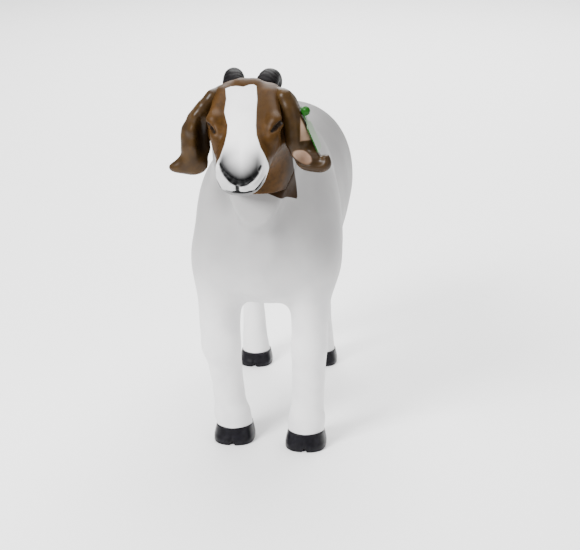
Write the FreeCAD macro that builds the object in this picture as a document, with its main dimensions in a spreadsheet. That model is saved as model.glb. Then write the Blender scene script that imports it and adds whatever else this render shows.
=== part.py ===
"""Hollow, painted glass-fibre figure of a Boer goat with a two-piece livestock tag in its left ear.

The goat faces -Y and stands on Z = 0. Its left side is +X. Millimetres and degrees.
The shell is laid up in two body halves and a head, with cast legs, hooves, horns, ears and tail bonded on.
A welded steel frame runs through the legs and inside the body. The tag's flag and stud turn in the ear.
"""

import FreeCAD
import Part
import Sketcher
import math
import os

Vector = FreeCAD.Vector
Rotation = FreeCAD.Rotation
Placement = FreeCAD.Placement

LEFT, RIGHT = 1, -1
SIDE_NAMES = {LEFT: "left", RIGHT: "right"}

# Driving dimensions, in millimetres and degrees. Each becomes a cell of the sheet with this alias.
SIZES = {
    # where the frame's origin lies, from the body's middle plane and the middle of the trunk
    "shift_x": 5.2,
    "shift_y": 81.6,
    "wall": 5.0,
    # trunk
    "chest_y": -285.0,
    "trunk_length": 574.0,
    "back_height": 584.0,
    "barrel_half": 127.0,
    # neck and head
    "neck_root_y": -150.0,
    "neck_root_z": 470.0,
    "neck_slope": 45.0,
    "neck_length": 254.0,
    "neck_half": 96.0,
    "nape_taper": -0.2,
    "head_offset": -12.0,
    "horn_offset": -17.0,
    "poll_y": -325.0,
    "poll_z": 689.0,
    "face_slope": 38.0,
    "face_length": 200.0,
    "brow_half": 65.0,
    "eye_radius": 12.5,
    "eye_along": 88.0,
    "eye_below": 24.0,
    "eye_out": 46.0,
    "eye_gap": 0.3,
    # hooves
    "hoof_height": 29.0,
    "hoof_half": 36.0,
    "hoof_reach": 42.0,
    "cleft_width": 2.0,
    "cleft_depth": 10.0,
    # steel frame inside
    "rod_radius": 6.0,
    "rod_gap": 0.1,
    "rod_foot": 12.0,
    "rod_bend": 60.0,
    "frame_level": 430.0,
    "bar_width": 30.0,
    "bar_thickness": 8.0,
    # ear tag
    "tag_lean": 24.0,
    "tag_turn": 0.0,
    "shank_radius": 2.6,
    "shank_gap": 0.1,
    "button_radius": 8.5,
    "button_thick": 1.8,
    "button_inset": 8.0,
    "flag_stand": 6.4,
    "flag_thick": 1.8,
    "flag_half": 28.0,
    "flag_shoulder": 17.0,
    "flag_drop": 69.0,
    "flag_corner": 7.0,
    "neck_tab_half": 9.5,
    "collar_radius": 6.0,
    "dome_radius": 7.5,
    "dome_height": 10.0,
    "tip_radius": 3.6,
    "tip_length": 5.0,
}

# Trunk from chest to rump: place along its length, top, bottom, half width and level of the widest line
# as shares of trunk_length, back_height and barrel_half, and how pear-shaped the section is.
TRUNK = [
    (0.000, 0.740, 0.620, 0.12, 0.680, 0.00),
    (0.016, 0.805, 0.560, 0.48, 0.670, -0.08),
    (0.047, 0.875, 0.508, 0.77, 0.660, -0.10),
    (0.096, 0.935, 0.466, 0.92, 0.655, -0.12),
    (0.166, 0.975, 0.452, 0.98, 0.660, -0.12),
    (0.270, 0.995, 0.452, 0.97, 0.690, -0.08),
    (0.410, 0.985, 0.460, 0.97, 0.715, -0.03),
    (0.550, 0.972, 0.466, 0.985, 0.725, 0.00),
    (0.690, 0.962, 0.486, 0.975, 0.735, 0.02),
    (0.810, 0.942, 0.530, 0.90, 0.740, 0.02),
    (0.906, 0.900, 0.600, 0.74, 0.750, 0.02),
    (0.963, 0.850, 0.670, 0.48, 0.760, 0.00),
    (0.991, 0.810, 0.720, 0.22, 0.765, 0.00),
    (1.000, 0.790, 0.745, 0.07, 0.767, 0.00),
]

# Neck from inside the trunk to the poll: place along its axis as a share of neck_length,
# half width, reach to the nape and reach to the throat as shares of neck_half.
NECK = [
    (0.000, 1.00, 1.09, 1.09),
    (0.315, 0.88, 0.98, 0.97),
    (0.590, 0.74, 0.88, 0.84),
    (0.787, 0.67, 0.87, 0.73),
    (0.890, 0.62, 0.83, 0.62),
    (0.968, 0.45, 0.62, 0.42),
    (1.000, 0.20, 0.30, 0.20),
]

# Head from behind the poll to the nose: place along the face as a share of face_length, half width and
# depth as shares of brow_half, drop of the top line in millimetres, and taper towards the jaw.
HEAD = [
    (-0.110, 0.28, 0.55, 36.0, 0.00),
    (-0.080, 0.52, 1.00, 24.0, 0.00),
    (0.000, 0.78, 1.55, 10.0, 0.08),
    (0.125, 0.90, 1.82, 5.0, 0.12),
    (0.250, 0.92, 1.86, 3.5, 0.14),
    (0.375, 0.84, 1.80, 4.0, 0.12),
    (0.500, 0.76, 1.62, 3.5, 0.08),
    (0.640, 0.69, 1.30, 3.0, 0.00),
    (0.780, 0.67, 1.05, 2.0, -0.06),
    (0.900, 0.64, 0.92, 3.0, -0.08),
    (0.970, 0.50, 0.74, 8.0, -0.05),
    (1.000, 0.20, 0.40, 17.0, 0.00),
]

# Foreleg sections from inside the trunk down to the hoof: level, centre x and y, half width, half length.
FORELEG = {
    LEFT: [
        (370, 78, -196, 26, 34),
        (330, 79, -200, 37, 48),
        (285, 79, -203, 39, 53),
        (235, 77, -207, 34, 44),
        (190, 77, -212, 32, 36),
        (150, 76, -212, 31, 31),
        (104, 75, -212, 30, 28),
        (75, 74, -212, 30, 29),
        (50, 73, -214, 31, 32),
        (29, 72, -217, 33, 35),
    ],
    RIGHT: [
        (370, 78, -196, 26, 34),
        (330, 81, -200, 38, 48),
        (285, 84, -203, 41, 53),
        (235, 85, -207, 39, 45),
        (190, 82, -212, 37, 37),
        (150, 77, -209, 32, 31),
        (104, 72, -204, 30, 28),
        (75, 69, -201, 30, 29),
        (50, 65, -200, 32, 32),
        (29, 61, -200, 33, 35),
    ],
}

HINDLEG = {
    LEFT: [
        (450, 58, 160, 34, 52),
        (400, 61, 166, 42, 70),
        (350, 63, 171, 41, 74),
        (300, 62, 180, 36, 62),
        (250, 61, 195, 32, 47),
        (210, 61, 210, 29, 39),
        (175, 61, 221, 27, 35),
        (135, 59, 221, 24, 28),
        (95, 58, 217, 24, 26),
        (58, 60, 215, 25, 27),
        (27, 60, 213, 29, 32),
    ],
    RIGHT: [
        (450, 58, 160, 34, 52),
        (400, 63, 166, 42, 70),
        (350, 69, 171, 42, 74),
        (300, 75, 180, 39, 63),
        (250, 80, 193, 33, 47),
        (210, 82, 207, 28, 39),
        (175, 82, 215, 25, 35),
        (135, 81, 212, 23, 28),
        (95, 78, 205, 24, 26),
        (58, 76, 200, 26, 27),
        (27, 73, 196, 29, 32),
    ],
}

# Horn axis from the skull up and back: out from the middle between the horns, y, z, radius.
HORN = [
    (27, -290, 644, 18.0),
    (27, -288, 660, 18.4),
    (28, -280, 672, 18.0),
    (30, -262, 679, 16.4),
    (33, -240, 677, 13.4),
    (37, -220, 669, 9.4),
    (40, -204, 658, 4.4),
    (41, -199, 654, 1.6),
]

# Tail axis from the croup: y, z, half width, half thickness.
TAIL = [
    (262, 540, 17, 13),
    (282, 538, 17, 12),
    (297, 524, 16, 10),
    (303, 500, 15, 8),
    (303, 474, 12, 6),
    (301, 456, 7, 4),
    (300, 448, 2, 1.5),
]

# Ear from its root down to the flared tip: out from the head's middle, y, z, radius of the fold,
# half angle of the fold, turn of its open side about the ear's length, thickness.
EAR = [
    (42, -318, 668, 11, 125, 42, 6.0),
    (56, -323, 655, 15, 118, 42, 6.5),
    (69, -329, 636, 19, 104, 40, 6.5),
    (79, -335, 612, 23, 90, 34, 6.5),
    (84, -340, 586, 25, 80, 24, 6.5),
    (92, -345, 565, 26, 72, 6, 6.5),
    (105, -349, 552, 23, 60, -14, 6.0),
    (118, -350, 548, 16, 52, -26, 5.0),
    (127, -350, 548, 8, 46, -30, 3.5),
]
TAG_PLACE = (82.0, -331.0, 635.0)


def make_sheet(document):
    """The spreadsheet of driving dimensions, one alias to a row."""
    sheet = document.addObject("Spreadsheet::Sheet", "Sizes")
    for row, (alias, value) in enumerate(SIZES.items(), start=1):
        sheet.set(f"A{row}", alias)
        sheet.set(f"B{row}", str(value))
        sheet.setAlias(f"B{row}", alias)
    document.recompute()
    return sheet


def size(name):
    """A driving dimension as it stands in the sheet."""
    return float(SHEET.get(name))


def feature(name, shape):
    """A document object that holds a shape made with Part's own functions."""
    made = DOC.addObject("Part::Feature", name)
    made.Shape = shape
    made.Label = name
    return made


# --- lofted shapes ---


def closed_curve(points):
    """A smooth closed curve through the points, as a wire."""
    curve = Part.BSplineCurve()
    curve.interpolate(Points=points, PeriodicFlag=True)
    return Part.Wire([curve.toShape()])


def ring(centre, across, up, half, rise, drop, taper=0.0, count=12):
    """An egg-shaped section: half to each side, rise above and drop below the centre."""
    points = []
    for step in range(count):
        angle = 2 * math.pi * step / count
        height = math.sin(angle)
        reach = rise if height > 0 else drop
        side = half * math.cos(angle) * (1 + taper * height)
        points.append(centre + across * side + up * (reach * height))
    return closed_curve(points)


def loft(wires):
    """The smooth solid through the sections."""
    return Part.makeLoft(wires, True, False)


def trunk_shape(inset):
    """The trunk, or with an inset the hollow inside it."""
    wires = []
    for along, top, bottom, half, level, taper in TRUNK:
        middle = size("back_height") * level
        rise = size("back_height") * (top - level) - inset
        drop = size("back_height") * (level - bottom) - inset
        width = size("barrel_half") * half - inset
        if inset and min(rise, drop, width) < 6 * inset:
            continue
        y = size("chest_y") + size("trunk_length") * along
        wires.append(ring(Vector(0, y, middle), Vector(1, 0, 0), Vector(0, 0, 1), width, rise, drop, taper))
    return loft(wires)


def neck_axis():
    """Unit vectors along the neck and towards the nape."""
    slope = math.radians(size("neck_slope"))
    return Vector(0, -math.cos(slope), math.sin(slope)), Vector(0, math.sin(slope), math.cos(slope))


def neck_centre(share):
    """A point of the neck's axis, which bends to the head's side of the middle plane."""
    along, _ = neck_axis()
    root = Vector(0, size("neck_root_y"), size("neck_root_z"))
    bend = share * share * (3 - 2 * share)
    return root + along * (size("neck_length") * share) + Vector(size("head_offset") * bend, 0, 0)


def neck_shape(inset):
    """The neck, or with an inset the hollow inside it."""
    _, nape = neck_axis()
    wires = []
    for share, half, back, front in NECK:
        if inset and share > 0.95:
            continue
        width, rise, drop = (size("neck_half") * part - inset for part in (half, back, front))
        wires.append(ring(neck_centre(share), Vector(1, 0, 0), nape, width, rise, drop, size("nape_taper")))
    return loft(wires)


def face_axis():
    """Unit vectors down the face towards the nose and out of the face."""
    slope = math.radians(size("face_slope"))
    return Vector(0, -math.cos(slope), -math.sin(slope)), Vector(0, -math.sin(slope), math.cos(slope))


def face_point(along, below, side=0.0):
    """A point of the head: along the face from the poll, below the face line, and to the side."""
    down, out = face_axis()
    poll = Vector(size("head_offset") + side, size("poll_y"), size("poll_z"))
    return poll + down * along - out * below


def head_shape(inset):
    """The head, or with an inset the hollow inside it."""
    _, out = face_axis()
    wires = []
    for share, half, depth, drop, taper in HEAD:
        width = size("brow_half") * half - inset
        reach = size("brow_half") * depth / 2 - inset
        if inset and (reach < 5 * inset or not 0 <= share < 0.95):
            continue
        centre = face_point(size("face_length") * share, drop + size("brow_half") * depth / 2)
        wires.append(ring(centre, Vector(1, 0, 0), out, width, reach, reach, taper))
    return loft(wires)


def leg_shape(rows, side):
    """One leg from its table of level sections."""
    wires = []
    for level, x, y, half, reach in rows:
        centre = Vector(side * x, y, level)
        wires.append(ring(centre, Vector(1, 0, 0), Vector(0, 1, 0), half, reach, reach))
    return loft(wires)


def path_frames(points):
    """The direction of travel at each point of a path."""
    frames = []
    for index in range(len(points)):
        before = points[max(index - 1, 0)]
        after = points[min(index + 1, len(points) - 1)]
        frames.append((after - before).normalize())
    return frames


def horn_shape(side):
    """One horn: round sections square to its axis."""
    middle = size("horn_offset")
    points = [Vector(middle + side * out, y, z) for out, y, z, _ in HORN]
    wires = []
    for point, direction, row in zip(points, path_frames(points), HORN):
        radius = row[3]
        across = direction.cross(Vector(0, 0, 1)).normalize() * side
        up = direction.cross(across) * -side
        wires.append(ring(point, across, up, radius * 0.92, radius * 1.08, radius * 1.08))
    return loft(wires)


def tail_shape():
    """The tail: flat oval sections square to its axis."""
    points = [Vector(0, y, z) for y, z, _, _ in TAIL]
    wires = []
    for point, direction, row in zip(points, path_frames(points), TAIL):
        up = direction.cross(Vector(1, 0, 0)) * -1
        wires.append(ring(point, Vector(1, 0, 0), up, row[2], row[3], row[3]))
    return loft(wires)


def skin(rows):
    """The solid inside one smooth surface through rows of points, with a flat cap at each end."""
    surface = Part.BSplineSurface()
    surface.interpolate([row + [row[0]] for row in rows])
    side_face = surface.toShape()
    rims = [edge for edge in side_face.Edges if edge.isClosed()]
    caps = [Part.Face(Part.Wire([edge])) for edge in rims]
    shell = Part.makeShell([side_face] + caps)
    shell.sewShape()
    solid = Part.makeSolid(shell)
    if solid.Volume < 0:
        solid.reverse()
    return solid


def fold_points(centre, along, side, radius, half_angle, turn, thick, steps=9):
    """A C-shaped ear section of even thickness, open towards the face, round its middle point."""
    forward = Vector(0, -1, 0)
    opening = (forward - along * forward.dot(along)).normalize()
    opening = Rotation(along, side * turn).multVec(opening)
    across = along.cross(opening) * side
    spread = math.radians(half_angle)
    depth = radius * (1 - math.cos(spread))
    pivot = centre - opening * (depth / 2) + opening * radius

    def at(angle, reach):
        return pivot - opening * (reach * math.cos(angle)) + across * (reach * math.sin(angle))

    angles = [spread * (2 * step / (steps - 1) - 1) for step in range(steps)]
    lip = thick / (2 * radius)
    outer = [at(angle, radius) for angle in angles]
    inner = [at(angle, radius - thick) for angle in reversed(angles)]
    ends = [at(spread + lip, radius - thick / 2), at(-spread - lip, radius - thick / 2)]
    return outer + [ends[0]] + inner + [ends[1]]


def ear_shape(side):
    """One ear: a leaf folded along its length that hangs from the head and flares out at its tip."""
    middle = size("head_offset")
    points = [Vector(middle + side * row[0], row[1], row[2]) for row in EAR]
    rows = []
    for point, direction, row in zip(points, path_frames(points), EAR):
        rows.append(fold_points(point, direction, side, *row[3:]))
    return skin(rows)


# --- steel frame ---


def rod_path(points, bend):
    """Straight runs joined by one arc of the bend radius at each inner point."""
    edges = []
    start = points[0]
    for before, corner, after in zip(points, points[1:], points[2:]):
        into = (corner - before).normalize()
        away = (after - corner).normalize()
        half_turn = into.getAngle(away) / 2
        reach = bend * math.tan(half_turn)
        first, last = corner - into * reach, corner + away * reach
        inward = (away - into).normalize()
        middle = corner + inward * (bend / math.cos(half_turn) - bend)
        edges.append(Part.LineSegment(start, first).toShape())
        edges.append(Part.Arc(first, middle, last).toShape())
        start = last
    edges.append(Part.LineSegment(start, points[-1]).toShape())
    return Part.Wire(edges)


def rod_solid(points, radius):
    """A round bar along the path."""
    path = rod_path(points, size("rod_bend"))
    direction = (points[1] - points[0]).normalize()
    profile = Part.Wire([Part.makeCircle(radius, points[0], direction)])
    return path.makePipeShell([profile], True, False, 2)


def leg_rod_points(rows, side, hind):
    """The rod's route from just above the sole to the frame inside the trunk."""
    foot = rows[-1]
    points = [Vector(side * foot[1], foot[2], size("rod_foot"))]
    if hind:
        hock = rows[6]
        points.append(Vector(side * hock[1], hock[2] + 2, hock[0] - 5))
    top = rows[1]
    points.append(Vector(side * top[1], top[2], size("frame_level")))
    return points


# --- sketched shapes ---


def origin_plane(body, role):
    """One of a body's own origin planes."""
    return next(item for item in body.Origin.OriginFeatures if item.Role == role)


def sketch_on(body, name, role):
    """An empty sketch on one of the body's origin planes."""
    sketch = body.newObject("Sketcher::SketchObject", name)
    sketch.AttachmentSupport = [(origin_plane(body, role), "")]
    sketch.MapMode = "FlatFace"
    return sketch


def amount(text):
    """The sum of aliases and numbers that a text such as "flag_stand + 3" stands for."""
    total, sign = 0.0, 1
    for word in text.split():
        if word == "+":
            continue
        if word == "-":
            sign = -1
            continue
        total += sign * (size(word) if word in SIZES else float(word))
        sign = 1
    return total


def bound(text):
    """The same sum written as an expression on the sheet."""
    return " ".join("Sizes." + word if word in SIZES else word for word in text.split())


def outline(sketch, corners):
    """A closed polygon whose corners' distances from the origin are bound to the sheet."""
    places = [Vector(amount(x), amount(y), 0) for x, y in corners]
    count = len(places)
    for index in range(count):
        sketch.addGeometry(Part.LineSegment(places[index], places[(index + 1) % count]))
    for index in range(count):
        sketch.addConstraint(Sketcher.Constraint("Coincident", index, 2, (index + 1) % count, 1))
    for index, (x, y) in enumerate(corners):
        place = places[index]
        for kind, axis, text, value in (("DistanceX", -2, x, place.x), ("DistanceY", -1, y, place.y)):
            if abs(value) < 1e-9:
                sketch.addConstraint(Sketcher.Constraint("PointOnObject", index, 1, axis))
                continue
            number = sketch.addConstraint(Sketcher.Constraint(kind, -1, 1, index, 1, value))
            sketch.setExpression(f"Constraints[{number}]", bound(text))
    return sketch


def revolve(body, sketch, name, kind="PartDesign::Revolution"):
    """A full turn of the sketch about the vertical axis of its plane."""
    turned = body.newObject(kind, name)
    turned.Profile = sketch
    turned.ReferenceAxis = (sketch, ["V_Axis"])
    turned.Angle = 360
    return turned


def make_stud(place):
    """Back button, shank and pointed tip of the ear tag, turned about the stud's axis."""
    body = DOC.addObject("PartDesign::Body", "tag_stud")
    sketch = sketch_on(body, "stud_profile", "XZ_Plane")
    tip_base = "flag_stand + flag_thick + 0.3"
    outline(sketch, [
        ("0", "- button_inset - button_thick"),
        ("button_radius", "- button_inset - button_thick"),
        ("button_radius", "- button_inset"),
        ("shank_radius", "- button_inset"),
        ("shank_radius", tip_base),
        ("tip_radius", tip_base),
        ("0.8", tip_base + " + tip_length"),
        ("0", tip_base + " + tip_length"),
    ])
    revolve(body, sketch, "stud_turned")
    body.Placement = place
    return body


def make_flag(place):
    """The hanging panel with the domed socket that snaps over the stud's tip."""
    body = DOC.addObject("PartDesign::Body", "tag_flag")
    sketch = sketch_on(body, "panel_outline", "XY_Plane")
    sketch.setExpression(".AttachmentOffset.Base.z", "Sizes.flag_stand")
    right = [
        ("4", "neck_tab_half"),
        ("neck_tab_half", "4"),
        ("neck_tab_half", "- flag_shoulder + 6"),
        ("neck_tab_half + 5", "- flag_shoulder"),
        ("flag_half - 4", "- flag_shoulder - 1"),
        ("flag_half", "- flag_shoulder - 5"),
        ("flag_half", "- flag_drop + flag_corner"),
        ("flag_half - flag_corner", "- flag_drop"),
    ]
    left = [(negated(x), y) for x, y in reversed(right)]
    outline(sketch, right + left)
    panel = body.newObject("PartDesign::Pad", "panel")
    panel.Profile = sketch
    panel.setExpression("Length", "Sizes.flag_thick")
    top = "flag_stand + flag_thick + dome_height"
    dome = sketch_on(body, "dome_profile", "XZ_Plane")
    outline(dome, [
        ("0", "flag_stand"),
        ("dome_radius", "flag_stand"),
        ("dome_radius", top + " - 5"),
        ("dome_radius - 1.2", top + " - 2.4"),
        ("dome_radius - 3.4", top + " - 0.7"),
        ("0", top),
    ])
    revolve(body, dome, "dome")
    socket = sketch_on(body, "socket_profile", "XZ_Plane")
    outline(socket, [
        ("0", "flag_stand - 1"),
        ("shank_radius + shank_gap", "flag_stand - 1"),
        ("shank_radius + shank_gap", "flag_stand + flag_thick"),
        ("tip_radius + 0.3", "flag_stand + flag_thick"),
        ("tip_radius + 0.3", "flag_stand + flag_thick + tip_length + 0.7"),
        ("0", "flag_stand + flag_thick + tip_length + 1.6"),
    ])
    revolve(body, socket, "socket", "PartDesign::Groove")
    body.Placement = place
    return body


def negated(text):
    """The same sum with every sign turned round."""
    words = []
    for index, word in enumerate(text.split()):
        if word in "+-":
            words.append("-" if word == "+" else "+")
        else:
            words += ["-", word] if index == 0 else [word]
    return " ".join(words)


# --- building the figure ---


def tag_frame():
    """The tag's own frame: Z out of the ear along the stud, Y up the hanging flag."""
    lean, turn = math.radians(size("tag_lean")), math.radians(size("tag_turn"))
    axis = Vector(math.cos(lean) * math.cos(turn), math.cos(lean) * math.sin(turn), math.sin(lean))
    up = (Vector(0, 0, 1) - axis * axis.z).normalize()
    out, y, z = TAG_PLACE
    place = Vector(size("head_offset") + out, y, z)
    return Placement(place, Rotation(up.cross(axis), up, axis, "ZYX"))


def cut_by(shape, *tools):
    """The shape with every tool taken out of it."""
    for tool in tools:
        shape = shape.cut(tool)
    return largest(shape)


def largest(shape):
    """The largest solid of a shape, so that a sliver left by a cut isn't kept."""
    solids = sorted(shape.Solids, key=lambda solid: solid.Volume)
    return solids[-1]


def ball(name, centre, radius):
    """A sphere bound to the sheet."""
    sphere = DOC.addObject("Part::Sphere", name)
    sphere.setExpression("Radius", radius)
    sphere.Placement.Base = centre
    sphere.Label = name
    return sphere


def bar(name, corner, length, width, height):
    """A flat bar bound to the sheet."""
    box = DOC.addObject("Part::Box", name)
    for side, text in (("Length", length), ("Width", width), ("Height", height)):
        box.setExpression(side, text)
    box.Placement.Base = corner
    box.Label = name
    return box


def half_space(side):
    """A box that covers everything on one side of the middle plane."""
    low = 0 if side == LEFT else -400
    return Part.makeBox(400, 1400, 1400, Vector(low, -700, -100))


def hoof_shape(foot, share):
    """A hoof round the end of a leg: wider at the sole, with the cleft in front."""
    x, y = foot
    height = size("hoof_height") * share
    half, reach = size("hoof_half") * share, size("hoof_reach") * share
    wires = []
    for level, out, back in ((0, 0.97, 0.96), (0.25, 1.0, 1.0), (0.62, 0.96, 0.93), (1.0, 0.90, 0.82)):
        lean = (1 - level) * 3
        centre = Vector(x, y - lean, height * level)
        wires.append(ring(centre, Vector(1, 0, 0), Vector(0, 1, 0), half * out, reach * back, reach * back))
    hoof = loft(wires)
    width, depth = size("cleft_width"), size("cleft_depth") * share
    cleft = Part.makeBox(width, depth, height + 2, Vector(x - width / 2, y - reach - 4, -1))
    return cut_by(hoof, cleft)


SHEET = None
DOC = FreeCAD.newDocument("goat")
SHEET = make_sheet(DOC)

trunk, neck, head = trunk_shape(0), neck_shape(0), head_shape(0)
body_outer = trunk.fuse(neck)
body_hollow = trunk_shape(size("wall")).fuse(neck_shape(size("wall")))
made = {}

ear_places = {side: ear_shape(side) for side in (LEFT, RIGHT)}
horn_places = {side: horn_shape(side) for side in (LEFT, RIGHT)}
eye_places = {}
for side in (LEFT, RIGHT):
    eye_places[side] = face_point(size("eye_along"), size("eye_below"), side * size("eye_out"))

# the shells
shell = body_outer.cut(body_hollow)
for side in (LEFT, RIGHT):
    made[f"body_shell_{SIDE_NAMES[side]}"] = cut_by(shell.common(half_space(side)))
sockets = [Part.makeSphere(size("eye_radius") + size("eye_gap"), eye_places[side]) for side in (LEFT, RIGHT)]
made["head_shell"] = cut_by(head.cut(head_shape(size("wall") + 1)), body_outer, *sockets)

# horns, ears and tail are cast solid and end where they meet the shell
for side in (LEFT, RIGHT):
    word = SIDE_NAMES[side]
    made[f"horn_{word}"] = cut_by(horn_places[side], head, body_outer)
    made[f"ear_{word}"] = cut_by(ear_places[side], head, body_outer, horn_places[side])
tag_place = tag_frame()
hole = Part.makeCylinder(size("shank_radius") + size("shank_gap"), 24, Vector(0, 0, -12))
seat = Part.makeCylinder(size("button_radius") + 0.5, 12, Vector(0, 0, 0.4 - size("button_inset") - 12))
hole.Placement = seat.Placement = tag_place
made["ear_left"] = cut_by(made["ear_left"], hole, seat)
made["tail"] = cut_by(tail_shape(), trunk)

# legs with the steel rods in their middles
legs = [("foreleg", FORELEG, False, 1.0), ("hindleg", HINDLEG, True, 0.90)]
above_bars = Part.makeBox(800, 1200, 60, Vector(-400, -600, size("frame_level")))
for name, rows, hind, share in legs:
    for side in (LEFT, RIGHT):
        word = SIDE_NAMES[side]
        table = rows[side]
        points = leg_rod_points(table, side, hind)
        bore = rod_solid(points, size("rod_radius") + size("rod_gap"))
        foot = Vector(side * table[-1][1], table[-1][2], 0)
        hoof = hoof_shape((foot.x, foot.y), share)
        made[f"hoof_{name[:4]}_{word}"] = cut_by(hoof, bore)
        made[f"{name}_{word}"] = cut_by(leg_shape(table, side), trunk, hoof, bore)
        made[f"rod_{name}_{word}"] = cut_by(rod_solid(points, size("rod_radius")), above_bars)
        for half in (LEFT, RIGHT):
            key = f"body_shell_{SIDE_NAMES[half]}"
            if half == side:
                made[key] = cut_by(made[key], bore)

for name, shape in made.items():
    feature(name, shape)

# eyes, the bars that tie the rods together and the ear tag
for side in (LEFT, RIGHT):
    ball(f"eye_{SIDE_NAMES[side]}", eye_places[side], "Sizes.eye_radius")
level, reach = size("frame_level"), size("bar_width") / 2
for word, rows in (("front", FORELEG), ("rear", HINDLEG)):
    low = -rows[RIGHT][1][1] - reach
    corner = Vector(low, rows[LEFT][1][2] - reach, level)
    span = rows[LEFT][1][1] + reach - low
    bar(f"{word}_cross_bar", corner, f"{span}", "Sizes.bar_width", "Sizes.bar_thickness")
start, end = FORELEG[LEFT][1][2] - reach, HINDLEG[LEFT][1][2] + reach
corner = Vector(-reach, start, level + size("bar_thickness"))
bar("spine_bar", corner, "Sizes.bar_width", f"{end - start}", "Sizes.bar_thickness")

shift = Vector(size("shift_x"), size("shift_y"), 0)
stud = make_stud(tag_place)
flag = make_flag(tag_place)
stud.Label, flag.Label = "tag_stud", "tag_flag"
DOC.recompute()

holders = ("Part::Feature", "Part::Sphere", "Part::Box", "PartDesign::Body")
nodes = [item for item in DOC.Objects if item.TypeId in holders]
for item in nodes:
    place = item.Placement
    item.Placement = Placement(place.Base + shift, place.Rotation)
DOC.recompute()
for item in DOC.Objects:
    if "Invalid" in item.State or "Error" in item.State:
        raise ValueError(f"{item.Label} did not recompute")
os.makedirs("parts", exist_ok=True)
for item in nodes:
    shape = item.Shape
    if shape.isNull() or not shape.isValid():
        raise ValueError(f"{item.Label} has no valid shape")
    shape.exportStep(f"parts/{item.Label}.step")
    box = shape.BoundBox
    print(item.Label, len(shape.Solids), round(shape.Volume / 1000, 1),
          [round(v, 1) for v in (box.XMin, box.XMax, box.YMin, box.YMax, box.ZMin, box.ZMax)])
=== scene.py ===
"""Looks of the painted glass-fibre goat: skin, head, ears, horns, hooves, tail and the two-piece ear tag.

Shapes are worked out in millimetres in the figure's own frame (middle plane at x = 0, facing -Y) and are
moved into the part's frame in metres when they become meshes.
"""

import math

import bmesh
import bpy
import numpy as np
import openvdb
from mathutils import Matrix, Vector


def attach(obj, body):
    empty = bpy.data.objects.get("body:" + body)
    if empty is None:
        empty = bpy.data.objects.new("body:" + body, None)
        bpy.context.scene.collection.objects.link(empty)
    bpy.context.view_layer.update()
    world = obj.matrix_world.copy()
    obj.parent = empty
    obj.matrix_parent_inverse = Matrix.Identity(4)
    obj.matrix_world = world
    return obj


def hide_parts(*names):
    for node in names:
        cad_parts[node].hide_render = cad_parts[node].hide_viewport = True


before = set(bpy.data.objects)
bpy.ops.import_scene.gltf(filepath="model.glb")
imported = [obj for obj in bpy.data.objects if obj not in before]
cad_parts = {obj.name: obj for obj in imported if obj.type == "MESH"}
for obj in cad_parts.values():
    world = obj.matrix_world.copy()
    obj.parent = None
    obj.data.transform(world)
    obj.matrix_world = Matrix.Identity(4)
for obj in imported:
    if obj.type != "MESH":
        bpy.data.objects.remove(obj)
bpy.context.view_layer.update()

MM = 0.001
# from the figure's own frame to the part's, in millimetres
SHIFT = np.array([5.2, 81.6, 0.0])
X, Y, Z = (1, 0, 0), (0, 1, 0), (0, 0, 1)
LEFT, RIGHT = 1, -1
SIDE_NAMES = {LEFT: "left", RIGHT: "right"}


# --- curves through tables ---


def smooth_column(x, y, at):
    """Monotone cubic through the points (x, y), read at the places at."""
    x, y = np.asarray(x, float), np.asarray(y, float)
    gap = np.diff(x)
    slope = np.diff(y) / gap
    tangent = np.zeros_like(y)
    tangent[0], tangent[-1] = slope[0], slope[-1]
    for i in range(1, len(x) - 1):
        if slope[i - 1] * slope[i] > 0:
            w1, w2 = 2 * gap[i] + gap[i - 1], gap[i] + 2 * gap[i - 1]
            tangent[i] = (w1 + w2) / (w1 / slope[i - 1] + w2 / slope[i])
    cell = np.clip(np.searchsorted(x, at) - 1, 0, len(x) - 2)
    t = (at - x[cell]) / gap[cell]
    return (
        y[cell] * (1 + 2 * t) * (1 - t) ** 2
        + tangent[cell] * gap[cell] * t * (1 - t) ** 2
        + y[cell + 1] * t * t * (3 - 2 * t)
        - tangent[cell + 1] * gap[cell] * t * t * (1 - t)
    )


def smooth_table(rows, samples):
    """A table of stations resampled smoothly along its first column."""
    rows = np.array(sorted(rows), float)
    at = np.linspace(rows[0, 0], rows[-1, 0], samples)
    columns = [smooth_column(rows[:, 0], rows[:, k], at) for k in range(1, rows.shape[1])]
    return np.column_stack([at] + columns)


# --- clay: solid shapes as distance fields on a grid ---

# the value of the field where no shape has reached, in millimetres
FAR_OUTSIDE = 60.0
WHOLE = ((-300, -600, -100), (300, 600, 900))


def smooth_min(a, b, blend):
    """The union of two fields, rounded over the blend distance."""
    h = np.clip(0.5 + 0.5 * (b - a) / blend, 0, 1)
    return b + (a - b) * h - blend * h * (1 - h)


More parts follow.
